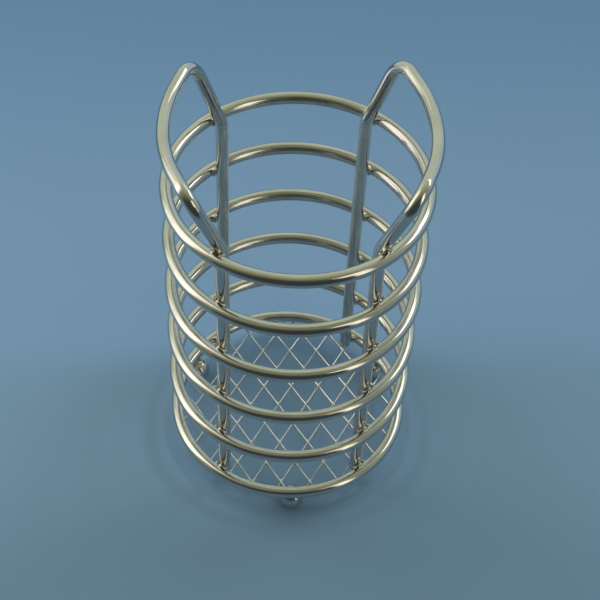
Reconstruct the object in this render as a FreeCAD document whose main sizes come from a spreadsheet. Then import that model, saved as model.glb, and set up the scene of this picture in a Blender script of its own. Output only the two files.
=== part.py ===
import FreeCAD, Part
import math
import os
import re

import Sketcher
from FreeCAD import Rotation, Vector

# Welded wire cutlery holder: wire rings, two bent wire frames with grips, a mesh floor and ball feet.
# Millimetres, +Z up, origin on the table at the axis of the rings; the grips are at -X and +X.

# Driving dimensions, kept in the sheet. Angles are in degrees, seen from above, from +X towards +Y.
DIMENSIONS = {
    "ring_outside_diameter": 100.0,
    "ring_wire_diameter": 5.0,
    "ring_pitch": 25.8,
    "frame_wire_diameter": 5.0,
    # How far two wires sink into each other where they are welded.
    "weld_setdown": 0.4,
    # Each frame's uprights stand this far to the side of the middle plane.
    "upright_offset": 27.2,
    # Bends of a frame: where the legs flare above the mouth, at the grip's two corners, and along the grip.
    "flare_bend_radius": 9.5,
    "grip_corner_radius": 8.1,
    "grip_bow_radius": 65.0,
    # The grip's corners and crest before bending: from the middle plane, and above the top ring's centre.
    "grip_corner_reach": 37.9,
    "grip_corner_spread": 73.2,
    "grip_corner_rise": 27.5,
    "grip_crest_reach": 52.3,
    "grip_crest_rise": 25.1,
    # Ball feet, set in from the base ring's centre line, each with a small flat to stand on.
    "foot_ball_diameter": 10.0,
    "foot_inset": 2.5,
    "foot_flat_depth": 0.2,
    "front_foot_angle": 270.0,
    "rear_left_foot_angle": 150.0,
    "rear_right_foot_angle": 30.0,
    # Expanded metal of the floor: one diamond, its strands, and the place of one diamond's centre.
    "mesh_short_way": 12.0,
    "mesh_long_way": 20.0,
    "mesh_strand_width": 1.4,
    "mesh_strand_thickness": 0.5,
    "mesh_strand_tilt": 45.0,
    "mesh_diamond_right": 2.0,
    "mesh_diamond_front": 0.6,
    # The mesh ends this far inside the base ring's centre line.
    "mesh_margin": 0.9,
    # Overrun of the disc that trims the mesh.
    "trim_overrun": 1.0,
}

RING_NAMES = ["base_ring", "fifth_ring", "fourth_ring", "third_ring", "second_ring", "top_ring"]
FRAME_SIDES = {"left_handle_frame": -1, "right_handle_frame": 1}
FOOT_NAMES = ["front_foot", "rear_left_foot", "rear_right_foot"]

# The most of a straight run that the bends at its ends may take up
BEND_ROOM_SHARE = 0.95

# Sizes and places that follow from the driving dimensions
RING_RADIUS = "((ring_outside_diameter - ring_wire_diameter) / 2)"
FOOT_REACH = f"({RING_RADIUS} - foot_inset)"
FOOT_CENTRE_GAP = "((ring_wire_diameter + foot_ball_diameter) / 2 - weld_setdown)"
FOOT_DROP = f"sqrt({FOOT_CENTRE_GAP}^2 - foot_inset^2)"
FOOT_HEIGHT = "(foot_ball_diameter / 2 - foot_flat_depth)"
FOOT_FLAT_RADIUS = f"sqrt((foot_ball_diameter / 2)^2 - {FOOT_HEIGHT}^2)"
BASE_RING_HEIGHT = f"({FOOT_HEIGHT} + {FOOT_DROP})"
TOP_RING_HEIGHT = f"({BASE_RING_HEIGHT} + {len(RING_NAMES) - 1} * ring_pitch)"
MESH_TOP = f"({BASE_RING_HEIGHT} - ring_wire_diameter / 2 + weld_setdown)"
UPRIGHT_REACH = f"({RING_RADIUS} - (ring_wire_diameter + frame_wire_diameter) / 2 + weld_setdown)"
UPRIGHT_DEPTH = f"sqrt({UPRIGHT_REACH}^2 - upright_offset^2)"
STRAND_STRETCH = "(sqrt(mesh_short_way^2 + mesh_long_way^2) / mesh_long_way)"
STRANDS_EACH_SIDE = f"(ceil({RING_RADIUS} * {STRAND_STRETCH} / mesh_short_way) + 1)"
STRAND_WIDTH_RISE = "mesh_strand_width * sin(mesh_strand_tilt)"
STRAND_THICKNESS_RISE = "mesh_strand_thickness * cos(mesh_strand_tilt)"
MESH_HEIGHT = f"({STRAND_WIDTH_RISE} + {STRAND_THICKNESS_RISE})"
MESH_BOTTOM = f"({MESH_TOP} - {MESH_HEIGHT})"
MESH_RADIUS = f"({RING_RADIUS} - mesh_margin)"


def bound(text):
    """Return the text with every named size in it read from the sheet."""
    return re.sub(r"[a-z]+(?:_[a-z]+)+", lambda name: f"<<sizes>>.{name.group()}", text)


def make_sheet(doc):
    """Make the sheet of driving dimensions."""
    sheet = doc.addObject("Spreadsheet::Sheet", "sizes")
    for row, (alias, number) in enumerate(DIMENSIONS.items(), start=1):
        sheet.set(f"A{row}", alias)
        sheet.set(f"B{row}", str(number))
        sheet.setAlias(f"B{row}", alias)
    doc.recompute()


def value(text):
    """Return the number that a formula of the named sizes gives."""
    return float(FreeCAD.ActiveDocument.getObject("sizes").evalExpression(bound(text)))


def bind(thing, **formulas):
    """Bind properties of an object to formulas of the named sizes; a double underscore stands for a dot."""
    for name, text in formulas.items():
        thing.setExpression(name.replace("__", "."), bound(text))


def place(thing, right="0", back="0", height="0"):
    """Bind the place of an object."""
    bind(thing, Placement__Base__x=right, Placement__Base__y=back, Placement__Base__z=height)


def make_body(doc, label):
    """Make an empty body."""
    body = doc.addObject("PartDesign::Body", label)
    body.Label = label
    return body


def make_sketch(body, name, plane):
    """Make a sketch on one of the body's origin planes."""
    sketch = body.newObject("Sketcher::SketchObject", name)
    support = next(item for item in body.Origin.OriginFeatures if item.Role == plane)
    sketch.AttachmentSupport = (support, [""])
    sketch.MapMode = "FlatFace"
    return sketch


def constrain(sketch, *arguments, name="", formula=""):
    """Add a constraint; a named one is bound to its formula."""
    number = sketch.addConstraint(Sketcher.Constraint(*arguments))
    if name:
        sketch.renameConstraint(number, name)
        sketch.setExpression(f"Constraints.{name}", bound(formula))


def revolve(body, sketch):
    """Turn the sketch a full round about its vertical axis."""
    turn = body.newObject("PartDesign::Revolution", f"{body.Label}_turn")
    turn.Profile = sketch
    turn.ReferenceAxis = (sketch, ["V_Axis"])
    turn.Angle = 360
    sketch.Visibility = False


def make_ring(doc, label, step):
    """Make a closed wire ring, so many pitches above the base ring."""
    body = make_body(doc, label)
    sketch = make_sketch(body, f"{label}_section", "XZ_Plane")
    radius = value(RING_RADIUS)
    wire_radius = value("ring_wire_diameter / 2")
    wire = sketch.addGeometry(Part.Circle(Vector(radius, 0, 0), Vector(0, 0, 1), wire_radius))
    constrain(sketch, "PointOnObject", wire, 3, -1)
    constrain(sketch, "DistanceX", -1, 1, wire, 3, radius, name="reach", formula=RING_RADIUS)
    constrain(sketch, "Radius", wire, wire_radius, name="wire", formula="ring_wire_diameter / 2")
    revolve(body, sketch)
    place(body, height=f"{BASE_RING_HEIGHT} + {step} * ring_pitch")
    return body


def make_ball(doc, label):
    """Make a ball with a small standing flat, at the place of the foot of that name."""
    body = make_body(doc, f"{label}_ball")
    sketch = make_sketch(body, f"{label}_profile", "XZ_Plane")
    radius = value("foot_ball_diameter / 2")
    height = value(FOOT_HEIGHT)
    bottom = Vector(0, 0, 0)
    rim = Vector(value(FOOT_FLAT_RADIUS), 0, 0)
    side = Vector(radius, height, 0)
    top = Vector(0, height + radius, 0)
    flat = sketch.addGeometry(Part.LineSegment(bottom, rim))
    round_side = sketch.addGeometry(Part.Arc(rim, side, top))
    axis = sketch.addGeometry(Part.LineSegment(top, bottom))
    constrain(sketch, "Coincident", flat, 1, -1, 1)
    constrain(sketch, "PointOnObject", flat, 2, -1)
    constrain(sketch, "Coincident", flat, 2, round_side, 1)
    constrain(sketch, "Coincident", round_side, 2, axis, 1)
    constrain(sketch, "Coincident", axis, 2, flat, 1)
    constrain(sketch, "PointOnObject", round_side, 3, -2)
    constrain(sketch, "PointOnObject", axis, 1, -2)
    constrain(sketch, "DistanceY", -1, 1, round_side, 3, height, name="centre", formula=FOOT_HEIGHT)
    constrain(sketch, "Radius", round_side, radius, name="ball", formula="foot_ball_diameter / 2")
    revolve(body, sketch)
    angle = f"{label}_angle"
    place(body, right=f"{FOOT_REACH} * cos({angle})", back=f"{FOOT_REACH} * sin({angle})")
    return body


def bend_tangents(runs, slopes, radii):
    """Return how far each bend reaches along the runs beside it, which leave it no more than their room."""
    reaches = [0, *(radius * slope for radius, slope in zip(radii, slopes)), 0]
    wanted = [start + end for start, end in zip(reaches, reaches[1:])]
    rooms = [min(1, BEND_ROOM_SHARE * run.Length / both) for run, both in zip(runs, wanted)]
    return [reach * min(pair) for reach, pair in zip(reaches[1:], zip(rooms, rooms[1:]))]


def bent_wire(corners, radii):
    """Return a wire of straight runs through the corners, each rounded by a tangent arc of its radius."""
    runs = [end - start for start, end in zip(corners, corners[1:])]
    slopes = [math.tan(run.getAngle(following) / 2) for run, following in zip(runs, runs[1:])]
    tangents = bend_tangents(runs, slopes, radii)
    ways = [Vector(run).normalize() for run in runs]
    edges = []
    start = corners[0]
    for corner, inward, outward, slope, tangent in zip(corners[1:], ways, ways[1:], slopes, tangents):
        radius = tangent / slope
        bow = (outward - inward).normalize() * (math.hypot(radius, tangent) - radius)
        arc_start = corner - inward * tangent
        arc_end = corner + outward * tangent
        edges.append(Part.LineSegment(start, arc_start).toShape())
        edges.append(Part.Arc(arc_start, corner + bow, arc_end).toShape())
        start = arc_end
    edges.append(Part.LineSegment(start, corners[-1]).toShape())
    return Part.Wire(edges)


def make_frame_wire(doc, label, side):
    """Make one frame: up inside the rings, out to the grip, along it and down again."""
    offset = side * value("upright_offset")
    depth = value(UPRIGHT_DEPTH)
    mouth = value(TOP_RING_HEIGHT)
    corner_reach = side * value("grip_corner_reach")
    corner_depth = value("grip_corner_spread / 2")
    corner_height = mouth + value("grip_corner_rise")
    foot_end = Vector(offset, -depth, value(MESH_TOP))
    flare = Vector(offset, -depth, mouth)
    corner = Vector(corner_reach, -corner_depth, corner_height)
    crest = Vector(side * value("grip_crest_reach"), 0, mouth + value("grip_crest_rise"))
    front_half = [foot_end, flare, corner]
    rear_half = [Vector(point.x, -point.y, point.z) for point in reversed(front_half)]
    flare_radius = value("flare_bend_radius")
    corner_radius = value("grip_corner_radius")
    radii = [flare_radius, corner_radius, value("grip_bow_radius"), corner_radius, flare_radius]
    path = doc.addObject("Part::Feature", f"{label}_path")
    path.Shape = bent_wire([*front_half, crest, *rear_half], radii)
    section = doc.addObject("Part::Circle", f"{label}_section")
    bind(section, Radius="frame_wire_diameter / 2")
    place(section, right=f"{side} * upright_offset", back=f"-{UPRIGHT_DEPTH}", height=MESH_TOP)
    sweep = doc.addObject("Part::Sweep", f"{label}_wire")
    sweep.Sections = [section]
    sweep.Spine = (path, [f"Edge{number + 1}" for number in range(len(path.Shape.Edges))])
    sweep.Solid = True
    sweep.Frenet = False
    return sweep


def make_strands(body, label, way):
    """Make one set of strands: tilted flat bars, side by side, that run along one edge of the diamond."""
    sketch = make_sketch(body, f"{label}_section", "XZ_Plane")
    width = value("mesh_strand_width")
    thickness = value("mesh_strand_thickness")
    tilt = Rotation(Vector(0, 0, 1), value("mesh_strand_tilt"))
    first_left = f"({STRANDS_EACH_SIDE} - 1 / 2) * mesh_short_way"
    middle = Vector(-value(first_left), -value(MESH_HEIGHT) / 2, 0)
    signs = [(-1, -1), (1, -1), (1, 1), (-1, 1)]
    points = [middle + tilt.multVec(Vector(x * width / 2, y * thickness / 2, 0)) for x, y in signs]
    sides = [
        sketch.addGeometry(Part.LineSegment(start, end))
        for start, end in zip(points, points[1:] + points[:1])
    ]
    centre = sketch.addGeometry(Part.Point(middle))
    for side, following in zip(sides, sides[1:] + sides[:1]):
        constrain(sketch, "Coincident", side, 2, following, 1)
    constrain(sketch, "Parallel", sides[0], sides[2])
    constrain(sketch, "Parallel", sides[1], sides[3])
    constrain(sketch, "Perpendicular", sides[0], sides[1])
    constrain(sketch, "Symmetric", sides[0], 1, sides[1], 2, centre, 1)
    constrain(sketch, "Distance", sides[0], width, name="width", formula="mesh_strand_width")
    constrain(sketch, "Distance", sides[1], thickness, name="thickness", formula="mesh_strand_thickness")
    constrain(sketch, "Angle", sides[0], tilt.Angle, name="tilt", formula="mesh_strand_tilt")
    constrain(sketch, "DistanceX", centre, 1, -1, 1, -middle.x, name="left", formula=first_left)
    constrain(sketch, "DistanceY", centre, 1, -1, 1, -middle.y, name="down", formula=f"{MESH_HEIGHT} / 2")
    bar = body.newObject("PartDesign::Pad", f"{label}_bar")
    bar.Profile = sketch
    bar.ReferenceAxis = way
    bar.AlongSketchNormal = False
    bar.SideType = "Symmetric"
    bind(bar, Length=f"2 * ({RING_RADIUS} + mesh_long_way / 2) * {STRAND_STRETCH}")
    sketch.Visibility = False
    row = body.newObject("PartDesign::LinearPattern", f"{label}_row")
    row.Originals = [bar]
    row.Direction = (sketch, ["H_Axis"])
    bind(row, Occurrences=f"2 * {STRANDS_EACH_SIDE}")
    bind(row, Length=f"(2 * {STRANDS_EACH_SIDE} - 1) * mesh_short_way")
    body.Tip = row


def make_lattice(doc):
    """Make the crossed strands, centred on one diamond, with their top bedded in the base ring."""
    body = make_body(doc, "mesh_lattice")
    ways = make_sketch(body, "strand_ways", "XY_Plane")
    half_short = value("mesh_short_way / 2")
    half_long = value("mesh_long_way / 2")
    rise = ways.addGeometry(Part.LineSegment(Vector(-half_short, 0, 0), Vector(0, half_long, 0)))
    fall = ways.addGeometry(Part.LineSegment(Vector(0, half_long, 0), Vector(half_short, 0, 0)))
    constrain(ways, "Coincident", rise, 2, fall, 1)
    constrain(ways, "Symmetric", rise, 1, fall, 2, -1, 1)
    constrain(ways, "PointOnObject", rise, 2, -2)
    constrain(ways, "PointOnObject", rise, 1, -1)
    constrain(ways, "DistanceX", rise, 1, fall, 2, 2 * half_short, name="across", formula="mesh_short_way")
    constrain(ways, "DistanceY", -1, 1, rise, 2, half_long, name="along", formula="mesh_long_way / 2")
    doc.recompute()
    make_strands(body, "rising_strand", (ways, ["Edge1"]))
    make_strands(body, "falling_strand", (ways, ["Edge2"]))
    ways.Visibility = False
    place(body, right="mesh_diamond_right", back="-mesh_diamond_front", height=MESH_TOP)
    return body


def make_mesh_disc(doc):
    """Make the lattice trimmed to a disc that ends under the base ring's wire."""
    lattice = make_lattice(doc)
    blank = doc.addObject("Part::Cylinder", "mesh_blank")
    bind(blank, Radius=MESH_RADIUS, Height=f"{MESH_HEIGHT} + 2 * trim_overrun")
    place(blank, height=f"{MESH_BOTTOM} - trim_overrun")
    disc = doc.addObject("Part::Common", "mesh_disc")
    disc.Base = lattice
    disc.Tool = blank
    return disc


def make_mesh_room(doc):
    """Make the room of the mesh: it gives the top of each ball a flat step for the strands to lie on."""
    room = doc.addObject("Part::Cylinder", "mesh_room")
    bind(room, Radius=MESH_RADIUS, Height="foot_ball_diameter")
    place(room, height=MESH_BOTTOM)
    return room


def gather(doc, label, things):
    """Join bodies into one tool for cutting a seat."""
    tool = doc.addObject("Part::MultiFuse", label)
    tool.Shapes = things
    return tool


def seat(doc, label, piece, neighbour):
    """Give a piece its name and its weld seats: its shape less that of its neighbour."""
    seated = doc.addObject("Part::Cut", label)
    seated.Label = label
    seated.Base = piece
    seated.Tool = neighbour
    return seated


def check(doc, nodes):
    """Stop if any object failed, or if a node is not one or more valid solids."""
    for thing in doc.Objects:
        if "Invalid" in thing.State or "Error" in thing.State:
            raise RuntimeError(f"{thing.Label} failed: {thing.State}")
    for node in nodes:
        shape = node.Shape
        if shape.isNull() or not shape.isValid() or not shape.Solids:
            raise RuntimeError(f"{node.Label} is not a valid solid")


doc = FreeCAD.newDocument("cutlery_holder")
make_sheet(doc)
rings = [make_ring(doc, label, step) for step, label in enumerate(RING_NAMES)]
base_ring = rings[0]
all_rings = gather(doc, "all_rings", rings)
frames = [
    seat(doc, label, make_frame_wire(doc, label, side), all_rings)
    for label, side in FRAME_SIDES.items()
]
base_mesh = seat(doc, "base_mesh", make_mesh_disc(doc), base_ring)
ring_and_mesh_room = gather(doc, "ring_and_mesh_room", [base_ring, make_mesh_room(doc)])
feet = [seat(doc, label, make_ball(doc, label), ring_and_mesh_room) for label in FOOT_NAMES]
doc.recompute()

nodes = [*rings, *frames, base_mesh, *feet]
check(doc, nodes)
os.makedirs("parts", exist_ok=True)
for node in nodes:
    node.Shape.exportStep(f"parts/{node.Label}.step")
    print(f"{node.Label}: {len(node.Shape.Solids)} solid, {node.Shape.Volume:.1f} cubic mm")
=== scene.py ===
"""Open cutlery holder of welded chrome wire: six rings on two bent handle frames, a mesh floor and ball feet.

Sizes are in metres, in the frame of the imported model: +Z is up, the grips are at -X and +X, the front foot is
at -Y, and the origin is on the table at the axis of the rings.
"""

import logging
import math
from dataclasses import dataclass, field
from enum import Enum

import bpy
from mathutils import Matrix, Vector


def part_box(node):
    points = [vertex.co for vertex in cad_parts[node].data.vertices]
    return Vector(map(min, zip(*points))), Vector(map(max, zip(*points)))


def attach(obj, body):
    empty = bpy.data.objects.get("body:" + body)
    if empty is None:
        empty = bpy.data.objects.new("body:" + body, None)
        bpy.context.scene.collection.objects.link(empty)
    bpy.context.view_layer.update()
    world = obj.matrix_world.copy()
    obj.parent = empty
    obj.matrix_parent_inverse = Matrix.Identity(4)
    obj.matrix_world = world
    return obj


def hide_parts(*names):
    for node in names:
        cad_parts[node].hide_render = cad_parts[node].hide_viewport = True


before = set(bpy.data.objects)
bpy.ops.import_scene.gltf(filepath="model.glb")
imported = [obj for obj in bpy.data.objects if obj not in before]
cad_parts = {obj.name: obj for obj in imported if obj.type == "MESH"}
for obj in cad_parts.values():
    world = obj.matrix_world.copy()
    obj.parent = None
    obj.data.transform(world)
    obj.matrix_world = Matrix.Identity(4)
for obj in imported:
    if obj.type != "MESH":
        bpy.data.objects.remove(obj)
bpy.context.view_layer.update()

MM = 0.001
BODY = "root"
UP = Vector((0.0, 0.0, 1.0))

# Attribute that holds the place of a point on its wire's section
SECTION = "section"

# Points closer than this are one point
MERGE_DISTANCE = 0.001 * MM

# Wires and balls are this much thinner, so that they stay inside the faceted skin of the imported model
SKIN_INSET = 0.02 * MM

# Shares of a bend that a wire is turned through
WHOLE_BEND = 1.0
HALF_BEND = 0.5

# Seeds of the weld beads' unevenness
SEEDS_PER_RING = 10
FIRST_FOOT_SEED = 100

# Sockets of a colour mix node, whose names repeat
MIX_FIRST = 6
MIX_SECOND = 7
MIX_RESULT = 2

# Noise of the plated skin: its scales are in waves per metre
DRIFT_SCALE = 45.0
DRIFT_SHARE = 0.22
SWELL_SCALE = 160.0
HAZE_RANGE = (0.35, 0.68)
SPECK_RANGE = (0.06, 0.14)

SENSOR_WIDTH = 36.0

Piece = bpy.types.Object
Socket = bpy.types.NodeSocket
Tree = bpy.types.NodeTree
Colour = tuple[float, float, float]
Span = tuple[float, float]
Place = tuple[float, float, float]

log = logging.getLogger("cutlery_holder")


class Side(Enum):
    """The two handle frames, with the sign of X on which each one stands."""

    LEFT = -1
    RIGHT = 1


class RingPlace(Enum):
    """The six wire rings, from the mouth down, by the names of their nodes."""

    TOP = "top_ring"
    SECOND = "second_ring"
    THIRD = "third_ring"
    FOURTH = "fourth_ring"
    FIFTH = "fifth_ring"
    BASE = "base_ring"


class PanelShape(Enum):
    """Outlines of a light panel, by the names that the lights use."""

    OBLONG = "RECTANGLE"
    OVAL = "ELLIPSE"


class FootPlace(Enum):
    """The three ball feet, by the names of their nodes."""

    FRONT = "front_foot"
    REAR_LEFT = "rear_left_foot"
    REAR_RIGHT = "rear_right_foot"


def clear_selection() -> None:
    """Selects nothing, so that the next operator acts on the new piece alone."""
    bpy.ops.object.select_all(action="DESELECT")


def select_only(piece: Piece) -> None:
    """Selects one piece and makes it active.

    Args:
        piece: The piece.
    """
    clear_selection()
    piece.select_set(True)
    bpy.context.view_layer.objects.active = piece


def name_piece(piece: Piece, name: str) -> None:
    """Gives a piece and its mesh one name."""
    piece.name = name
    piece.data.name = name


def settle(piece: Piece) -> None:
    """Puts a piece's place, turn and scale into its mesh, so that its object sits at the origin."""
    select_only(piece)
    bpy.ops.object.transform_apply(location=True, rotation=True, scale=True)


def edit_mode() -> None:
    """Opens the active piece for editing."""
    bpy.ops.object.mode_set(mode="EDIT")


def object_mode() -> None:
    """Ends the editing of the active piece."""
    bpy.ops.object.mode_set(mode="OBJECT")


def close_skin() -> None:
    """Merges doubled points of the piece in edit mode and turns its faces outwards."""
    bpy.ops.mesh.select_all(action="SELECT")
    bpy.ops.mesh.remove_doubles(threshold=MERGE_DISTANCE)
    bpy.ops.mesh.normals_make_consistent(inside=False)


def smooth_shade(piece: Piece, angle: float = 40.0) -> None:
    """Shades a piece smooth, with edges sharper than the angle, in degrees, left crisp."""
    select_only(piece)
    bpy.ops.object.shade_smooth_by_angle(angle=math.radians(angle))


def join_pieces(parts: list[Piece], name: str) -> Piece:
    """Joins parts into one piece.

    Args:
        parts: The parts.
        name: Name of the joined piece.

    Returns:
        The joined piece.
    """
    clear_selection()
    for part in parts:
        part.select_set(True)
    bpy.context.view_layer.objects.active = parts[0]
    bpy.ops.object.join()
    piece = bpy.context.object
    name_piece(piece, name)
    return piece


def hand_over(piece: Piece, finish: "ChromeFinish", *nodes: str) -> None:
    """Gives a shaped piece its finish and puts it in the frame.

    Args:
        piece: The shaped piece.
        finish: The finish that it wears.
        *nodes: The nodes that it stands for.
    """
    piece.data.materials.clear()
    piece.data.materials.append(finish.material())
    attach(piece, BODY)
    if nodes:
        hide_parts(*nodes)


def new_group(name: str, inputs: list[tuple], outputs: list[tuple]) -> tuple:
    """Starts a shader node group.

    Args:
        name: The group's name.
        inputs: Pairs of socket name and socket type.
        outputs: Pairs of socket name and socket type.

    Returns:
        The group, its input node and its output node.
    """
    group = bpy.data.node_groups.new(name, "ShaderNodeTree")
    for socket, kind in inputs:
        group.interface.new_socket(socket, in_out="INPUT", socket_type=kind)
    for socket, kind in outputs:
        group.interface.new_socket(socket, in_out="OUTPUT", socket_type=kind)
    return group, group.nodes.new("NodeGroupInput"), group.nodes.new("NodeGroupOutput")


def add_node(tree: Tree, kind: str, links: dict, **settings: object) -> bpy.types.Node:
    """Adds one node to a tree.

    Args:
        tree: The node tree.
        kind: The node's type name, after the part that all shader nodes share.
        links: For each input, by name or number, an output socket to link or a plain value to set.
        **settings: Properties of the node itself.

    Returns:
        The new node.
    """
    node = tree.nodes.new("ShaderNode" + kind)
    for key, value in settings.items():
        setattr(node, key, value)
    for key, value in links.items():
        if isinstance(value, Socket):
            tree.links.new(value, node.inputs[key])
        else:
            node.inputs[key].default_value = value
    return node


def mix_colours(tree: Tree, factor: Socket, first: Socket | Colour, second: Socket | Colour) -> Socket:
    """Adds a blend from one colour to another.

    Args:
        tree: The node tree.
        factor: Share of the second colour.
        first: The first colour, plain or from another node.
        second: The second colour, plain or from another node.

    Returns:
        The blended colour.
    """
    links = {"Factor": factor}
    for socket, colour in ((MIX_FIRST, first), (MIX_SECOND, second)):
        links[socket] = colour if isinstance(colour, Socket) else (*colour, 1.0)
    return add_node(tree, "Mix", links, data_type="RGBA").outputs[MIX_RESULT]


def map_range(
    tree: Tree, value: Socket, given: Span = (0.0, 1.0), wanted: Span = (0.0, 1.0), eased: bool = False
) -> Socket:
    """Adds a change of range.

    Args:
        tree: The node tree.
        value: The value to change.
        given: Start and end of the value's range.
        wanted: What the start and the end become.
        eased: Whether the change starts and ends gently.

    Returns:
        The changed value.
    """
    links = {"Value": value, "From Min": given[0], "From Max": given[1]}
    links.update({"To Min": wanted[0], "To Max": wanted[1]})
    kind = "SMOOTHSTEP" if eased else "LINEAR"
    return add_node(tree, "MapRange", links, interpolation_type=kind).outputs["Result"]


def start_material(name: str) -> tuple:
    """Starts a node material.

    Args:
        name: The material's name.

    Returns:
        The material, its node tree, its shader and the place in the object.
    """
    material = bpy.data.materials.new(name)
    material.use_nodes = True
    tree = material.node_tree
    place = add_node(tree, "TexCoord", {}).outputs["Object"]
    return material, tree, tree.nodes["Principled BSDF"], place


def drawn_lines_group() -> Tree:
    """Fine lines that the drawing die leaves along a wire.

    Returns:
        A group that takes the place on the wire's section and in the object, and puts out a line pattern.
    """
    name = "drawn_lines"
    if name in bpy.data.node_groups:
        return bpy.data.node_groups[name]
    floats = "NodeSocketFloat"
    vectors = "NodeSocketVector"
    group, given, result = new_group(
        name, [("Section", vectors), ("Place", vectors), ("Fineness", floats)], [("Lines", floats)]
    )
    drift = add_node(
        group, "TexNoise", {"Vector": given.outputs["Place"], "Scale": DRIFT_SCALE, "Detail": 1.0}
    )
    sway = add_node(
        group, "VectorMath", {0: drift.outputs["Color"], "Scale": DRIFT_SHARE}, operation="SCALE"
    )
    spot = add_node(
        group, "VectorMath", {0: given.outputs["Section"], 1: sway.outputs[0]}, operation="ADD"
    )
    lines = add_node(
        group,
        "TexNoise",
        {"Vector": spot.outputs[0], "Scale": given.outputs["Fineness"], "Detail": 3.0, "Roughness": 0.65},
    )
    group.links.new(lines.outputs["Fac"], result.inputs["Lines"])
    return group


def plating_cloud_group() -> Tree:
    """Cloudy patches and fine specks of a plated skin.

    Returns:
        A group that takes a place in the object and puts out a soft cloud, a speck mask and a gentle swell.
    """
    name = "plating_cloud"
    if name in bpy.data.node_groups:
        return bpy.data.node_groups[name]
    floats = "NodeSocketFloat"
    group, given, result = new_group(
        name,
        [("Place", "NodeSocketVector"), ("Patch Scale", floats), ("Speck Scale", floats)],
        [("Cloud", floats), ("Specks", floats), ("Swell", floats)],
    )
    place = given.outputs["Place"]
    cloud = add_node(
        group, "TexNoise", {"Vector": place, "Scale": given.outputs["Patch Scale"], "Detail": 4.0}
    )
    soft = map_range(group, cloud.outputs["Fac"], HAZE_RANGE)
    speck = add_node(
        group, "TexVoronoi", {"Vector": place, "Scale": given.outputs["Speck Scale"]}, feature="F1"
    )
    dots = map_range(group, speck.outputs["Distance"], SPECK_RANGE, (1.0, 0.0))
    swell = add_node(group, "TexNoise", {"Vector": place, "Scale": SWELL_SCALE, "Detail": 1.0})
    group.links.new(soft, result.inputs["Cloud"])
    group.links.new(dots, result.inputs["Specks"])
    group.links.new(swell.outputs["Fac"], result.inputs["Swell"])
    return group


@dataclass(frozen=True)
class ChromeFinish:
    """A bright plated skin over steel.

    Attributes:
        name: The material's name.
        slot: Name of the material slot that it belongs to; not used.
        bright: Colour of the clear plate.
        dull: Colour of the hazier patches.
        roughness: Least and most roughness.
        line_depth: Depth of the drawn lines.
        swell_depth: Depth of the slow waves in the skin.
        fineness: How many drawn lines there are round the wire.
        patch_scale: How many hazy patches there are in a metre.
        speck_scale: How many specks there are in a metre.
    """

    name: str
    slot: str
    bright: Colour
    dull: Colour
    roughness: Span
    line_depth: float
    swell_depth: float
    fineness: float = 9.0
    patch_scale: float = 70.0
    speck_scale: float = 900.0

    def material(self) -> bpy.types.Material:
        """Builds the finish once.

        Returns:
            The finish as a node material.
        """
        if self.name in bpy.data.materials:
            return bpy.data.materials[self.name]
        material, tree, shader, place = start_material(self.name)
        shader.inputs["Metallic"].default_value = 1.0
        section = add_node(tree, "Attribute", {}, attribute_name=SECTION).outputs["Vector"]
        lines = add_node(
            tree, "Group", {"Section": section, "Place": place, "Fineness": self.fineness},
            node_tree=drawn_lines_group(),
        )
        cloud = add_node(
            tree, "Group",
            {"Place": place, "Patch Scale": self.patch_scale, "Speck Scale": self.speck_scale},
            node_tree=plating_cloud_group(),
        )
        haze = cloud.outputs["Cloud"]
        colour = mix_colours(tree, haze, self.bright, self.dull)
        tree.links.new(colour, shader.inputs["Base Color"])
        worn = add_node(tree, "Math", {0: lines.outputs[0], 1: haze}, operation="MULTIPLY")
        marked = add_node(
            tree, "Math", {0: worn.outputs[0], 1: cloud.outputs["Specks"]}, operation="MAXIMUM"
        )
        rough = map_range(tree, marked.outputs[0], wanted=self.roughness)
        tree.links.new(rough, shader.inputs["Roughness"])
        grooves = add_node(
            tree, "Bump", {"Height": lines.outputs[0], "Distance": self.line_depth, "Strength": 1.0}
        )
        waves = add_node(
            tree, "Bump",
            {"Height": cloud.outputs["Swell"], "Distance": self.swell_depth, "Normal": grooves.outputs[0]},
        )
        tree.links.new(waves.outputs["Normal"], shader.inputs["Normal"])
        return material


RING_FINISH = ChromeFinish(
    "ring_chrome_plate", "ring_chrome", bright=(0.68, 0.66, 0.605), dull=(0.6, 0.575, 0.52),
    roughness=(0.09, 0.2), line_depth=0.02 * MM, swell_depth=0.03 * MM,
)
FRAME_FINISH = ChromeFinish(
    "frame_chrome_plate", "frame_chrome", bright=(0.69, 0.665, 0.615), dull=(0.605, 0.58, 0.53),
    roughness=(0.09, 0.2), line_depth=0.005 * MM, swell_depth=0.03 * MM,
)
MESH_FINISH = ChromeFinish(
    "mesh_chrome_plate", "mesh_chrome", bright=(0.84, 0.8, 0.73), dull=(0.72, 0.685, 0.62),
    roughness=(0.07, 0.22), line_depth=0.01 * MM, swell_depth=0.05 * MM,
)
WELD_FINISH = ChromeFinish(
    "weld_chrome_plate", "ring_chrome", bright=(0.69, 0.67, 0.615), dull=(0.61, 0.59, 0.535),
    roughness=(0.08, 0.18), line_depth=0.0, swell_depth=0.02 * MM,
)
FOOT_FINISH = ChromeFinish(
    "foot_chrome_plate", "foot_chrome", bright=(0.68, 0.66, 0.615), dull=(0.6, 0.575, 0.53),
    roughness=(0.07, 0.16), line_depth=0.0, swell_depth=0.05 * MM, fineness=5.0,
)


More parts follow.
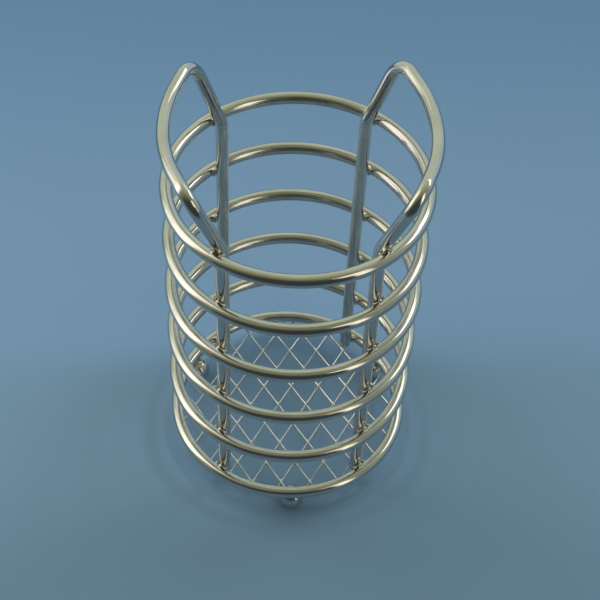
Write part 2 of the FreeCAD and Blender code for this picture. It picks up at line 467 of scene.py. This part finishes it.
@dataclass
class Wire:
    """A round wire drawn out by hand: a section circle that is pulled straight and turned round bends.

    Attributes:
        radius: Radius of the wire.
        sides: Sides of its section.
    """

    radius: float
    sides: int = 40

    def start(self, name: str, at: Vector, turn: Place = (0.0, 0.0, 0.0)) -> Piece:
        """Lays the first section and opens it for editing.

        Args:
            name: The piece's name.
            at: Middle of the section.
            turn: Turn of the section about X, Y and Z, in radians, from lying flat.

        Returns:
            The new piece, in edit mode with its section selected.
        """
        clear_selection()
        bpy.ops.mesh.primitive_circle_add(vertices=self.sides, radius=self.radius, location=at, rotation=turn)
        piece = bpy.context.object
        name_piece(piece, name)
        marks = piece.data.attributes.new(SECTION, "FLOAT_VECTOR", "POINT")
        for vertex, mark in zip(piece.data.vertices, marks.data):
            mark.vector = vertex.co / self.radius
        settle(piece)
        edit_mode()
        bpy.ops.mesh.select_all(action="SELECT")
        return piece

    def pull(self, step: Vector, count: int = 1) -> None:
        """Pulls the open end straight, in equal parts.

        Args:
            step: The whole move.
            count: Number of parts.
        """
        for _ in range(count):
            bpy.ops.mesh.extrude_region_move(TRANSFORM_OT_translate={"value": step / count})

    def turn(self, centre: Vector, axis: Vector, angle: float, steps: int) -> None:
        """Turns the open end round a bend, right-handed about the axis.

        Args:
            centre: Centre of the bend.
            axis: Axis of the bend.
            angle: Angle of the bend, in radians.
            steps: Number of parts.
        """
        bpy.ops.mesh.spin(steps=steps, angle=angle, center=centre, axis=-axis)


@dataclass
class RingStack:
    """The six rings, each a closed wire, where the frame holds them.

    Attributes:
        steps: Parts round each ring.
    """

    steps: int = 288

    def build(self) -> list[Piece]:
        """Builds every ring.

        Returns:
            The rings, from the mouth down.
        """
        return [self.build_ring(place) for place in RingPlace]

    def build_ring(self, place: RingPlace) -> Piece:
        """Builds one ring by turning a wire section round the axis of the holder.

        Args:
            place: Which ring.

        Returns:
            The finished ring.
        """
        low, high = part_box(place.value)
        wire_radius = (high.z - low.z) / 2
        wire = Wire(wire_radius - SKIN_INSET)
        middle = Vector((high.x - wire_radius, 0.0, (low.z + high.z) / 2))
        piece = wire.start(place.value + "_wire", middle, (math.pi / 2, 0.0, 0.0))
        wire.turn(Vector((0.0, 0.0, middle.z)), UP, math.tau, self.steps)
        close_skin()
        object_mode()
        self.dress(piece, place)
        return piece

    def dress(self, piece: Piece, place: RingPlace) -> None:
        """Smooths a ring and gives it its finish."""
        smooth_shade(piece)
        hand_over(piece, RING_FINISH, place.value)


@dataclass
class HandleFrame:
    """One bent wire: two uprights inside the rings and a flared grip loop above the mouth.

    Attributes:
        side: Which of the two frames.
        wire_radius: Radius of the wire.
        upright_offset: Distance of the uprights from the YZ plane.
        upright_spread: Distance of the uprights from the XZ plane.
        flare_height: Height at which the uprights lean outwards.
        flare_radius: Radius of that bend.
        flare_steps: Parts round that bend.
        corner: Where the lines of an upright's flare and of the grip meet, on the front right.
        corner_radius: Radius of the bend there.
        corner_steps: Parts round the bend there.
        crest: Where the lines of the two halves of the grip meet, on the right.
        crest_radius: Radius of the bow there.
        crest_steps: Parts round half of the bow there.
        straight_part: Length of one part of a straight run.
        end_bevel: Size of the broken edge of an upright's cut end.
        end_bevel_parts: Parts across that edge.
        halves_merge: Distance within which the two halves of the frame are merged.
    """

    side: Side
    wire_radius: float = 2.5 * MM
    upright_offset: float = 27.2 * MM
    upright_spread: float = 33.18 * MM
    flare_height: float = 140.445 * MM
    flare_radius: float = 9.5 * MM
    flare_steps: int = 10
    corner: Place = (37.9 * MM, -36.6 * MM, 167.945 * MM)
    corner_radius: float = 8.1 * MM
    corner_steps: int = 28
    crest: Place = (52.3 * MM, 0.0, 165.545 * MM)
    crest_radius: float = 65.0 * MM
    crest_steps: int = 20
    straight_part: float = 8.0 * MM
    end_bevel: float = 0.3 * MM
    end_bevel_parts: int = 2
    halves_merge: float = 0.01 * MM

    def sided(self, point: Place) -> Vector:
        """Takes a point of the right frame to this side."""
        return Vector((point[0] * self.side.value, point[1], point[2]))

    def build(self) -> Piece:
        """Bends the front half of the frame and mirrors it.

        Returns:
            The finished frame.
        """
        node = self.side.name.lower() + "_handle_frame"
        low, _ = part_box(node)
        foot = self.sided((self.upright_offset, -self.upright_spread, low.z))
        flare = self.sided((self.upright_offset, -self.upright_spread, self.flare_height))
        corner = self.sided(self.corner)
        crest = self.sided(self.crest)
        far_corner = Vector((corner.x, -corner.y, corner.z))
        wire = Wire(self.wire_radius - SKIN_INSET)
        piece = wire.start(node + "_wire", foot)
        reached = self.bend(wire, foot, flare, corner, self.flare_radius, self.flare_steps, WHOLE_BEND)
        reached = self.bend(wire, reached, corner, crest, self.corner_radius, self.corner_steps, WHOLE_BEND)
        self.bend(wire, reached, crest, far_corner, self.crest_radius, self.crest_steps, HALF_BEND)
        self.close_end(piece, foot.z)
        object_mode()
        self.mirror(piece)
        self.dress(piece, node)
        return piece

    def dress(self, piece: Piece, node: str) -> None:
        """Smooths the frame and gives it its finish."""
        smooth_shade(piece)
        hand_over(piece, FRAME_FINISH, node)

    def bend(
        self, wire: Wire, start: Vector, vertex: Vector, after: Vector,
        radius: float, steps: int, share: float,
    ) -> Vector:
        """Pulls the wire up to a bend and turns it.

        Args:
            wire: The wire.
            start: Middle of its open end.
            vertex: Where the lines before and after the bend meet.
            after: Next such point.
            radius: Radius of the bend.
            steps: Parts round the bend.
            share: Share of the bend that is made.

        Returns:
            Middle of the open end after the whole bend.
        """
        before = (vertex - start).normalized()
        onward = (after - vertex).normalized()
        angle = before.angle(onward)
        reach = radius * math.tan(angle / 2)
        first = vertex - before * reach
        axis = before.cross(onward).normalized()
        centre = first + axis.cross(before) * radius
        wire.pull(first - start, max(1, round((first - start).length / self.straight_part)))
        wire.turn(centre, axis, angle * share, steps)
        return vertex + onward * reach

    def close_end(self, piece: Piece, height: float) -> None:
        """Caps the cut end of the upright and breaks its edge.

        Args:
            piece: The half frame, in edit mode.
            height: Height of the cut end.
        """
        bpy.ops.mesh.select_all(action="DESELECT")
        object_mode()
        for vertex in piece.data.vertices:
            vertex.select = vertex.co.z < height + MERGE_DISTANCE
        edit_mode()
        bpy.ops.mesh.edge_face_add()
        bpy.ops.mesh.bevel(offset=self.end_bevel, segments=self.end_bevel_parts)

    def mirror(self, piece: Piece) -> None:
        """Adds the rear half of the frame to the front half and closes the skin.

        Args:
            piece: The half frame.
        """
        halves = piece.modifiers.new("halves", "MIRROR")
        halves.use_axis = (False, True, False)
        halves.use_clip = True
        halves.merge_threshold = self.halves_merge
        select_only(piece)
        bpy.ops.object.modifier_apply(modifier=halves.name)
        edit_mode()
        close_skin()
        object_mode()


@dataclass
class BallFoot:
    """A solid ball under the base ring, with the flat on which it stands.

    Attributes:
        place: Which of the three feet.
        segments: Parts round the ball.
        rings: Parts from pole to pole.
        flat_depth: How much of the ball the flat takes off.
    """

    place: FootPlace
    segments: int = 64
    rings: int = 40
    flat_depth: float = 0.2 * MM

    def build(self) -> Piece:
        """Builds the ball and cuts its flat.

        Returns:
            The finished foot.
        """
        low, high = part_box(self.place.value)
        radius = (high.x - low.x) / 2 - SKIN_INSET
        clear_selection()
        middle = self.centre(low, high, radius)
        bpy.ops.mesh.primitive_uv_sphere_add(
            segments=self.segments, ring_count=self.rings, radius=radius, location=middle
        )
        piece = bpy.context.object
        name_piece(piece, self.place.value + "_ball")
        settle(piece)
        edit_mode()
        bpy.ops.mesh.select_all(action="SELECT")
        bpy.ops.mesh.bisect(
            plane_co=(0.0, 0.0, low.z), plane_no=UP, use_fill=True, clear_inner=True,
            threshold=MERGE_DISTANCE,
        )
        close_skin()
        object_mode()
        self.dress(piece)
        return piece

    def dress(self, piece: Piece) -> None:
        """Smooths the foot and gives it its finish."""
        smooth_shade(piece)
        hand_over(piece, FOOT_FINISH, self.place.value)

    def centre(self, low: Vector, high: Vector, radius: float) -> Vector:
        """Works out the middle of the ball, which is cut off at the table, from its node's box.

        Args:
            low: Lowest corner of the node's box.
            high: Highest corner of the node's box.
            radius: Radius of the ball.

        Returns:
            The middle of the ball.
        """
        return Vector(((low.x + high.x) / 2, (low.y + high.y) / 2, low.z + radius - self.flat_depth))


@dataclass
class MeshFloor:
    """The disc of expanded metal under the base ring: tilted strands that meet at knuckles.

    Attributes:
        node: The node of the disc.
        short_way: Width of a diamond, along X.
        long_way: Length of a diamond, along Y.
        first: X and Y of one diamond's middle.
        strand_width: Width of a strand.
        strand_thickness: Thickness of the sheet.
        tilt: Tilt of the strands, in degrees, rising towards +X.
        knuckle_share: Length of a knuckle as a share of the diamond's length.
        knuckle_width_share: Width of a knuckle as a share of a strand's.
        waist_share: Width of a strand's middle as a share of its ends.
        waist_cuts: Cuts along a strand, which give it a waist.
        end_room: Share of a strand at either end that keeps its width.
        edge_share: Rounding of the sheared edges as a share of the thickness.
        edge_parts: Parts across a rounded edge.
        least_share: Least share of a strand that is laid at the rim.
        crease_angle: Angle, in degrees, above which edges stay crisp.
        radius: Radius of the disc, read from the node.
        height: Height of the disc's middle, read from the node.
    """

    node: str = "base_mesh"
    short_way: float = 12.0 * MM
    long_way: float = 20.0 * MM
    first: Span = (2.0 * MM, -0.6 * MM)
    strand_width: float = 1.15 * MM
    strand_thickness: float = 0.6 * MM
    tilt: float = 55.0
    knuckle_share: float = 0.1
    knuckle_width_share: float = 1.45
    waist_share: float = 0.82
    waist_cuts: int = 3
    end_room: float = 0.1
    edge_share: float = 0.48
    edge_parts: int = 4
    least_share: float = 0.04
    crease_angle: float = 50.0
    radius: float = field(init=False)
    height: float = field(init=False)

    def __post_init__(self) -> None:
        """Reads the disc's radius and height from its node's box."""
        low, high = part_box(self.node)
        self.radius = (high.x - low.x) / 2
        self.height = (low.z + high.z) / 2

    def build(self) -> Piece:
        """Lays every strand and knuckle that lies inside the disc and joins them.

        Returns:
            The finished mesh floor.
        """
        strand = self.build_bar("strand", 1.0, self.waist_share)
        knuckle = self.build_bar("knuckle", self.knuckle_width_share, 1.0)
        knuckle_length = self.knuckle_share * self.long_way
        copies = []
        half_way = self.long_way / 2
        rows = math.ceil(self.radius / half_way) + 1
        columns = math.ceil(self.radius / self.short_way) + 1
        for row in range(-rows, rows + 1):
            for column in range(-columns, columns + 1):
                x = self.first[0] + (column + 0.5 + (row % 2) / 2) * self.short_way
                y = self.first[1] + row * half_way
                copies += self.lay_strand(strand, x, y, 1.0)
                copies += self.lay_strand(strand, x, y, -1.0)
                if math.hypot(x, y) < self.radius - knuckle_length:
                    copies.append(self.lay(knuckle, x, y - knuckle_length / 2, 0.0, knuckle_length))
        for pattern in (strand, knuckle):
            bpy.data.objects.remove(pattern)
        piece = join_pieces(copies, "base_mesh_sheet")
        self.dress(piece)
        return piece

    def dress(self, piece: Piece) -> None:
        """Smooths the mesh and gives it its finish."""
        smooth_shade(piece, self.crease_angle)
        hand_over(piece, MESH_FINISH, self.node)

    def select_long_edges(self, bar: Piece) -> None:
        """Opens a bar of unit length for editing, with only the edges along it selected.

        Args:
            bar: The bar, in object mode or in edit mode.
        """
        edit_mode()
        bpy.ops.mesh.select_all(action="DESELECT")
        object_mode()
        for edge in bar.data.edges:
            start, end = (bar.data.vertices[index].co.y for index in edge.vertices)
            edge.select = abs(start - end) > 0.5
        edit_mode()

    def build_bar(self, name: str, width_share: float, waist: float) -> Piece:
        """Shapes a bar of unit length along Y, with rounded edges and a narrower middle.

        Args:
            name: The pattern's name.
            width_share: Width as a share of a strand's.
            waist: Width of the middle as a share of the ends.

        Returns:
            The pattern bar, which copies are made from.
        """
        clear_selection()
        sizes = (self.strand_width * width_share, 1.0, self.strand_thickness)
        bpy.ops.mesh.primitive_cube_add(size=1.0, location=(0.0, 0.5, 0.0), scale=sizes)
        bar = bpy.context.object
        name_piece(bar, name)
        settle(bar)
        self.select_long_edges(bar)
        bpy.ops.mesh.select_mode(type="EDGE")
        bpy.ops.mesh.bevel(offset=self.edge_share * self.strand_thickness, segments=self.edge_parts)
        self.select_long_edges(bar)
        bpy.ops.mesh.subdivide(number_cuts=self.waist_cuts)
        bpy.ops.mesh.select_mode(type="VERT")
        bpy.ops.mesh.select_all(action="DESELECT")
        object_mode()
        for vertex in bar.data.vertices:
            vertex.select = self.end_room < vertex.co.y < 1.0 - self.end_room
        edit_mode()
        bpy.ops.transform.resize(value=(waist, 1.0, 1.0), center_override=(0.0, 0.5, 0.0))
        object_mode()
        bar.rotation_euler = (0.0, -math.radians(self.tilt), 0.0)
        settle(bar)
        return bar

    def lay_strand(self, strand: Piece, x: float, y: float, lean: float) -> list[Piece]:
        """Lays the part of a strand that lies inside the disc.

        Args:
            strand: The pattern strand.
            x: X of the knuckle where the strand starts.
            y: Y of the knuckle where the strand starts.
            lean: Way that the strand leans, 1 towards +X and -1 towards -X.

        Returns:
            The strand in a list, or an empty list.
        """
        run = Vector((lean * self.short_way / 2, self.long_way / 2))
        start = Vector((x, y))
        half_b = start.dot(run) / run.length_squared
        room = half_b ** 2 - (start.length_squared - self.radius ** 2) / run.length_squared
        if room <= 0.0:
            return []
        first = max(0.0, -half_b - math.sqrt(room))
        last = min(1.0, -half_b + math.sqrt(room))
        if last - first < self.least_share:
            return []
        at = start + run * first
        return [self.lay(strand, at.x, at.y, run.x * (last - first), run.y * (last - first))]

    def lay(self, pattern: Piece, x: float, y: float, across: float, along: float) -> Piece:
        """Copies a bar to its place, leaned so that its ends stay square to Y.

        Args:
            pattern: The pattern bar.
            x: X of its start.
            y: Y of its start.
            across: How far it runs along X.
            along: How far it runs along Y.

        Returns:
            The copy, with its own mesh.
        """
        copy = pattern.copy()
        copy.data = pattern.data.copy()
        bpy.context.scene.collection.objects.link(copy)
        lean = Matrix.Identity(4)
        lean[0][1] = across
        lean[1][1] = along
        copy.data.transform(Matrix.Translation((x, y, self.height)) @ lean)
        return copy


@dataclass
class WeldBeads:
    """Beads squeezed out where the uprights cross the rings, and where the balls meet the base ring.

    Attributes:
        reach: Half the size of a bead along the ring.
        rise: Half the size of a bead along the upright.
        depth: Half the thickness of a bead between the two wires.
        bead_parts: Parts of a bead, round it and from pole to pole.
        uneven: Greatest unevenness of a bead's skin.
        evening: Share of the unevenness that one smoothing takes off.
        evenings: Number of smoothings.
        lobe_radius: Radius of the four drops round a crossing, one in each corner.
        lobe_parts: Parts of a drop, round it and from pole to pole.
        lobe_reach: Distance of a drop from the crossing, along the ring.
        lobe_rise: Distance of a drop from the crossing, along the upright.
        foot_share: Size of a bead at a ball, as a share of one at a crossing.
        crease_angle: Angle, in degrees, above which edges stay crisp.
    """

    reach: float = 2.2 * MM
    rise: float = 1.8 * MM
    depth: float = 0.9 * MM
    bead_parts: tuple[int, int] = (28, 14)
    uneven: float = 0.02 * MM
    evening: float = 0.5
    evenings: int = 2
    lobe_radius: float = 0.7 * MM
    lobe_parts: tuple[int, int] = (20, 12)
    lobe_reach: float = 2.4 * MM
    lobe_rise: float = 1.2 * MM
    foot_share: float = 0.75
    crease_angle: float = 80.0

    def build(self) -> list[Piece]:
        """Builds the beads of every ring.

        Returns:
            One piece for each ring.
        """
        return [self.build_ring(number, place) for number, place in enumerate(RingPlace)]

    def build_ring(self, number: int, place: RingPlace) -> Piece:
        """Builds the beads of one ring as one piece.

        Args:
            number: The ring's number from the mouth, which seeds the unevenness.
            place: Which ring.

        Returns:
            The finished beads.
        """
        low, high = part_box(place.value)
        wire_radius = (high.z - low.z) / 2
        ring_radius = high.x - wire_radius
        height = (low.z + high.z) / 2
        upright = HandleFrame(Side.RIGHT)
        contact = (ring_radius + math.hypot(upright.upright_offset, upright.upright_spread)) / 2
        lean = math.atan2(upright.upright_spread, upright.upright_offset)
        beads = []
        for corner, turn in enumerate((lean, math.pi - lean, math.pi + lean, -lean)):
            at = Vector((contact * math.cos(turn), contact * math.sin(turn), height))
            out = Vector((math.cos(turn), math.sin(turn), 0.0))
            beads.append(self.build_bead(at, out, SEEDS_PER_RING * number + corner, 1.0))
            beads += self.build_lobes(at, out)
        if place is RingPlace.BASE:
            beads += self.build_foot_beads(ring_radius, wire_radius, height)
        piece = join_pieces(beads, place.value + "_welds")
        self.dress(piece)
        return piece

    def dress(self, piece: Piece) -> None:
        """Smooths the beads of a ring and gives them their finish."""
        smooth_shade(piece, self.crease_angle)
        hand_over(piece, WELD_FINISH)

    def build_foot_beads(self, ring_radius: float, wire_radius: float, height: float) -> list[Piece]:
        """Builds the beads between the base ring and the balls.

        Args:
            ring_radius: Radius of the base ring's centre line.
            wire_radius: Radius of its wire.
            height: Height of its centre line.

        Returns:
            The three beads.
        """
        beads = []
        for number, place in enumerate(FootPlace):
            low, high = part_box(place.value)
            ball = BallFoot(place).centre(low, high, (high.x - low.x) / 2)
            out = Vector((ball.x, ball.y, 0.0)).normalized()
            ring = out * ring_radius + Vector((0.0, 0.0, height))
            away = (ring - ball).normalized()
            seed = FIRST_FOOT_SEED + number
            beads.append(self.build_bead(ring - away * wire_radius, away, seed, self.foot_share))
        return beads

    def build_lobes(self, at: Vector, across: Vector) -> list[Piece]:
        """Shapes the four drops of metal in the corners of a crossing.

        Args:
            at: Middle of the crossing.
            across: Direction from one wire to the other.

        Returns:
            The drops.
        """
        side = UP.cross(across).normalized()
        segments, rings = self.lobe_parts
        lobes = []
        for along, above in ((-1, -1), (-1, 1), (1, -1), (1, 1)):
            place = at + side * self.lobe_reach * along + UP * self.lobe_rise * above
            clear_selection()
            bpy.ops.mesh.primitive_uv_sphere_add(
                segments=segments, ring_count=rings, radius=self.lobe_radius, location=place
            )
            settle(bpy.context.object)
            lobes.append(bpy.context.object)
        return lobes

    def build_bead(self, at: Vector, across: Vector, seed: int, share: float) -> Piece:
        """Shapes one bead: a flattened ball with an uneven skin.

        Args:
            at: Middle of the bead.
            across: Direction from one wire to the other.
            seed: Seed of the unevenness.
            share: Size of the bead, as a share of the full one.

        Returns:
            The bead.
        """
        segments, rings = self.bead_parts
        clear_selection()
        bpy.ops.mesh.primitive_uv_sphere_add(segments=segments, ring_count=rings, radius=1.0)
        bead = bpy.context.object
        bead.scale = (self.rise * share, self.reach * share, self.depth)
        settle(bead)
        edit_mode()
        bpy.ops.mesh.select_all(action="SELECT")
        bpy.ops.transform.vertex_random(offset=self.uneven, seed=seed)
        bpy.ops.mesh.vertices_smooth(factor=self.evening, repeat=self.evenings)
        object_mode()
        side = UP.cross(across).normalized()
        turn = Matrix((across.cross(side) * -1.0, side, across)).transposed()
        bead.data.transform(Matrix.Translation(at) @ turn.to_4x4())
        return bead


@dataclass
class Panel:
    """A soft light panel that faces the holder.

    Attributes:
        name: The panel's name.
        azimuth: Direction from the holder, in degrees from +Y towards +X.
        elevation: Direction above the table, in degrees.
        distance: Distance from the holder.
        width: Width of the panel.
        height: Height of the panel.
        radiance: Brightness of its face, where 1 is white.
        colour: Colour of its light.
        shape: Outline of the panel.
        mirrored: Whether the plated wire shows the panel.
    """

    name: str
    azimuth: float
    elevation: float
    distance: float
    width: float
    height: float
    radiance: float
    colour: Colour = (1.0, 1.0, 1.0)
    shape: PanelShape = PanelShape.OVAL
    mirrored: bool = True

    def build(self, target: Vector) -> None:
        """Hangs the panel.

        Args:
            target: Point that the panel faces.
        """
        turn = math.radians(self.azimuth)
        rise = math.radians(self.elevation)
        out = Vector((math.sin(turn) * math.cos(rise), math.cos(turn) * math.cos(rise), math.sin(rise)))
        data = bpy.data.lights.new(self.name, "AREA")
        data.shape = self.shape.value
        data.size = self.width
        data.size_y = self.height
        share = math.pi / 4 if self.shape is PanelShape.OVAL else 1.0
        data.energy = self.radiance * math.pi * self.width * self.height * share
        data.color = self.colour
        light = bpy.data.objects.new(self.name, data)
        bpy.context.scene.collection.objects.link(light)
        light.location = target + out * self.distance
        light.rotation_euler = out.to_track_quat("Z", "Y").to_euler()
        light.visible_camera = False
        light.visible_glossy = self.mirrored


@dataclass(frozen=True)
class PaintedFloorShade:
    """A colour that comes into the floor sheet along Y: mostly painted shade, darker where less light falls;
    one band brings back the plain floor colour.

    Attributes:
        reach: Y where it starts to show and Y from which it covers what was there.
        colour: The colour.
    """

    reach: Span
    colour: Colour


# Name, azimuth, elevation, distance, width, height, radiance and colour of each soft panel.
# The two lamps only light the floor and its shadows.
PANELS = (
    Panel("left_panel", -81.0, 25.0, 0.56, 0.46, 1.05, 0.42, (1.0, 0.92, 0.87)),
    Panel("left_middle", -82.0, 24.0, 0.54, 0.33, 0.82, 0.42, (1.0, 0.92, 0.87)),
    Panel("left_core", -89.0, 18.0, 0.515, 0.2, 0.42, 0.55, (1.0, 0.96, 0.92)),
    Panel("left_high", -62.0, 47.0, 1.2, 1.1, 0.55, 0.3, (1.0, 0.92, 0.88)),
    Panel("back_right_panel", 66.0, 40.0, 1.2, 0.6, 0.25, 2.6, (1.0, 0.99, 1.0)),
    Panel("back_strip", 37.0, 48.0, 1.2, 0.42, 0.1, 2.0, (1.0, 0.99, 1.0)),
    Panel("front_right_panel", 137.0, 26.0, 1.2, 0.4, 1.0, 1.3, (1.0, 0.95, 0.76), PanelShape.OBLONG),
    Panel("left_lamp", -62.0, 70.0, 1.0, 0.18, 0.18, 10.0, mirrored=False),
    Panel("right_lamp", 62.0, 70.0, 1.0, 0.18, 0.18, 10.0, mirrored=False),
)


@dataclass
class Studio:
    """Floor, soft panels, room and camera.

    Attributes:
        floor_radius: Radius of the floor sheet.
        floor_sides: Sides of the floor sheet.
        floor_roughness: Roughness of the floor sheet.
        floor_gloss: Strength of the floor sheet's reflections.
        floor_colour: Colour of the floor sheet behind the holder.
        painted_floor_shades: Colours laid over it in order: painted shade under and in front of the holder,
            deeper painted shade nearer the camera, the plain colour again behind the camera, and painted shade
            far behind the holder.
        floor_grain: Least and most brightness of the sheet's grain.
        horizon_colour: Colour that the camera sees past the floor.
        room: Colours of the room round the holder, each at its angle, in degrees, from the front (0) through
            overhead and the sides (90) to the back (180).
        low_wall: Colour of the lower wall on the right, at the back.
        near_wall: Colour of the lower wall on the right, towards the camera.
        wall_right: X of a direction where the lower wall starts and where it is whole.
        wall_low: Z of a direction where the lower wall starts and where it is whole.
        wall_near: Y of a direction where the near colour starts and where it is whole.
        panel_target: Point that the panels face.
        card_place: Middle of the dark card in front, painted shade for the room's unlit front in reflections.
        card_width: Width of that card.
        card_height: Height of that card.
        card_roughness: Roughness of that card.
        card_tones: The two dark colours of that card.
        card_fade: Height over which the card darkens from its foot.
        card_foot: Colour of the card's foot, where it meets the floor, painted in the floor's colour for the
            reflections.
        camera_place: Where the camera stands.
        camera_right: Direction that points right in the picture.
        camera_up: Direction that points up in the picture.
        focal_share: Focal length as a share of the picture's width.
        middle_column: Column of the picture, in pixels, that the lens axis meets.
        picture_width: Width of the picture, in pixels.
    """

    floor_radius: float = 4.0
    floor_sides: int = 96
    floor_roughness: float = 0.7
    floor_gloss: float = 0.15
    floor_colour: Colour = (0.231, 0.39, 0.636)
    # Painted shade: the floor is darker under and in front of the holder, nearer the camera and far behind it,
    # where less light falls; behind the camera it is the plain colour again.
    painted_floor_shades: tuple[PaintedFloorShade, ...] = (
        PaintedFloorShade((0.047, 0.018), (0.215, 0.358, 0.55)),
        PaintedFloorShade((-0.02, -0.1), (0.176, 0.296, 0.458)),
        PaintedFloorShade((-0.15, -0.6), (0.231, 0.39, 0.636)),
        PaintedFloorShade((0.1, 0.32), (0.173, 0.322, 0.575)),
    )
    floor_grain: Span = (0.97, 1.02)
    horizon_colour: Colour = (0.17, 0.28, 0.4)
    room: tuple[tuple[float, Colour], ...] = (
        (0.0, (0.05, 0.06, 0.055)),
        (36.0, (0.055, 0.055, 0.036)),
        (51.0, (0.105, 0.11, 0.062)),
        (66.0, (0.22, 0.226, 0.145)),
        (97.0, (0.41, 0.44, 0.32)),
        (133.0, (0.58, 0.65, 0.52)),
        (180.0, (0.6, 0.66, 0.57)),
    )
    low_wall: Colour = (0.43, 0.57, 0.66)
    near_wall: Colour = (0.25, 0.3, 0.31)
    wall_right: Span = (-0.05, 0.3)
    wall_low: Span = (0.62, 0.3)
    wall_near: Span = (0.6, -0.5)
    panel_target: Place = (0.0, 0.0, 0.09)
    # Painted shade: a dark card that only reflections show, standing for the unlit front of the room.
    card_place: Place = (-115.0 * MM, -220.0 * MM, 130.0 * MM)
    card_width: float = 0.57
    card_height: float = 0.26
    card_roughness: float = 0.9
    card_tones: tuple[Colour, Colour] = ((0.06, 0.06, 0.07), (0.08, 0.08, 0.09))
    card_fade: float = 0.1
    card_foot: Colour = (0.16, 0.28, 0.42)
    camera_place: Place = (-24.8 * MM, -344.5 * MM, 469.4 * MM)
    camera_right: Place = (0.99995, -0.0096, 0.0)
    camera_up: Place = (0.0072, 0.7514, 0.6599)
    focal_share: float = 1318.1 / 600
    middle_column: float = 237.8
    picture_width: float = 600.0

    def build(self) -> None:
        """Sets up everything round the holder."""
        self.build_floor()
        self.build_room()
        for panel in PANELS:
            panel.build(Vector(self.panel_target))
        self.build_card()
        self.build_camera()
        bpy.context.scene.view_settings.view_transform = "Standard"

    def build_floor(self) -> None:
        """Lays the floor sheet on which the feet stand."""
        clear_selection()
        bpy.ops.mesh.primitive_circle_add(
            vertices=self.floor_sides, radius=self.floor_radius, fill_type="NGON"
        )
        floor = bpy.context.object
        name_piece(floor, "floor_sheet")
        settle(floor)
        material, tree, shader, place = start_material("floor_paper")
        shader.inputs["Roughness"].default_value = self.floor_roughness
        shader.inputs["Specular IOR Level"].default_value = self.floor_gloss
        speckle = add_node(tree, "TexNoise", {"Vector": place, "Scale": 9.0, "Detail": 3.0})
        parts = add_node(tree, "SeparateXYZ", {0: place})
        colour = self.floor_colour
        # Lays each band of painted shade over the plain floor colour.
        for painted_shade in self.painted_floor_shades:
            share = map_range(tree, parts.outputs["Y"], painted_shade.reach, eased=True)
            colour = mix_colours(tree, share, colour, painted_shade.colour)
        grain = map_range(tree, speckle.outputs["Fac"], wanted=self.floor_grain)
        grained = add_node(tree, "VectorMath", {0: colour, "Scale": grain}, operation="SCALE")
        tree.links.new(grained.outputs[0], shader.inputs["Base Color"])
        floor.data.materials.append(material)

    def build_room(self) -> None:
        """Colours the room, which fades from a bright back wall overhead to an unlit front."""
        world = bpy.data.worlds.new("studio_room")
        bpy.context.scene.world = world
        world.use_nodes = True
        tree = world.node_tree
        background = tree.nodes["Background"]
        direction = add_node(tree, "TexCoord", {}).outputs["Generated"]
        parts = add_node(tree, "SeparateXYZ", {0: direction})
        front = add_node(tree, "Math", {0: parts.outputs["Y"], 1: -1.0}, operation="MULTIPLY")
        angle = add_node(tree, "Math", {0: front.outputs[0]}, operation="ARCCOSINE")
        sweep = add_node(tree, "Math", {0: angle.outputs[0], 1: math.pi}, operation="DIVIDE")
        ramp = add_node(tree, "ValToRGB", {"Fac": sweep.outputs[0]})
        stops = ramp.color_ramp.elements
        while len(stops) < len(self.room):
            stops.new(1.0)
        for stop, (degrees, colour) in zip(stops, self.room):
            stop.position = degrees / 180.0
            stop.color = (*colour, 1.0)
        right = map_range(tree, parts.outputs["X"], self.wall_right, eased=True)
        low = map_range(tree, parts.outputs["Z"], self.wall_low, eased=True)
        near = map_range(tree, parts.outputs["Y"], self.wall_near, eased=True)
        side = mix_colours(tree, near, self.low_wall, self.near_wall)
        wall = add_node(tree, "Math", {0: right, 1: low}, operation="MULTIPLY")
        walled = mix_colours(tree, wall.outputs[0], ramp.outputs["Color"], side)
        path = add_node(tree, "LightPath", {})
        seen = mix_colours(tree, path.outputs["Is Camera Ray"], walled, self.horizon_colour)
        tree.links.new(seen, background.inputs["Color"])

    def build_card(self) -> None:
        """Stands a dark card in front, which only the plated wire reflects: painted shade for the room's unlit
        front.
        """
        clear_selection()
        bpy.ops.mesh.primitive_plane_add(
            size=1.0, location=self.card_place, rotation=(math.pi / 2, 0.0, 0.0)
        )
        card = bpy.context.object
        name_piece(card, "front_card")
        card.scale = (self.card_width, self.card_height, 1.0)
        settle(card)
        material, tree, shader, place = start_material("card_black")
        shader.inputs["Roughness"].default_value = self.card_roughness
        speckle = add_node(tree, "TexNoise", {"Vector": place, "Scale": 20.0})
        dark = mix_colours(tree, speckle.outputs["Fac"], *self.card_tones)
        parts = add_node(tree, "SeparateXYZ", {0: place})
        foot = map_range(tree, parts.outputs["Z"], (self.card_fade, 0.0), eased=True)
        faded = mix_colours(tree, foot, dark, self.card_foot)
        tree.links.new(faded, shader.inputs["Base Color"])
        card.data.materials.append(material)
        card.visible_camera = False
        card.visible_diffuse = False
        card.visible_shadow = False

    def build_camera(self) -> None:
        """Places the camera where the picture was taken from."""
        data = bpy.data.cameras.new("picture_camera")
        data.sensor_width = SENSOR_WIDTH
        data.lens = self.focal_share * data.sensor_width
        data.shift_x = 0.5 - self.middle_column / self.picture_width
        camera = bpy.data.objects.new("picture_camera", data)
        bpy.context.scene.collection.objects.link(camera)
        right = Vector(self.camera_right)
        up = Vector(self.camera_up)
        turn = Matrix((right, up, right.cross(up))).transposed()
        camera.matrix_world = Matrix.Translation(self.camera_place) @ turn.to_4x4()
        bpy.context.scene.camera = camera


def main() -> None:
    """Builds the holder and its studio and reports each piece."""
    logging.basicConfig(level=logging.INFO, format="%(name)s: %(message)s")
    pieces = RingStack().build()
    pieces += [HandleFrame(side).build() for side in Side]
    pieces += [BallFoot(place).build() for place in FootPlace]
    pieces.append(MeshFloor().build())
    pieces += WeldBeads().build()
    Studio().build()
    for piece in pieces:
        log.info("%s: %d faces", piece.name, len(piece.data.polygons))


if __name__ == "__main__":
    main()
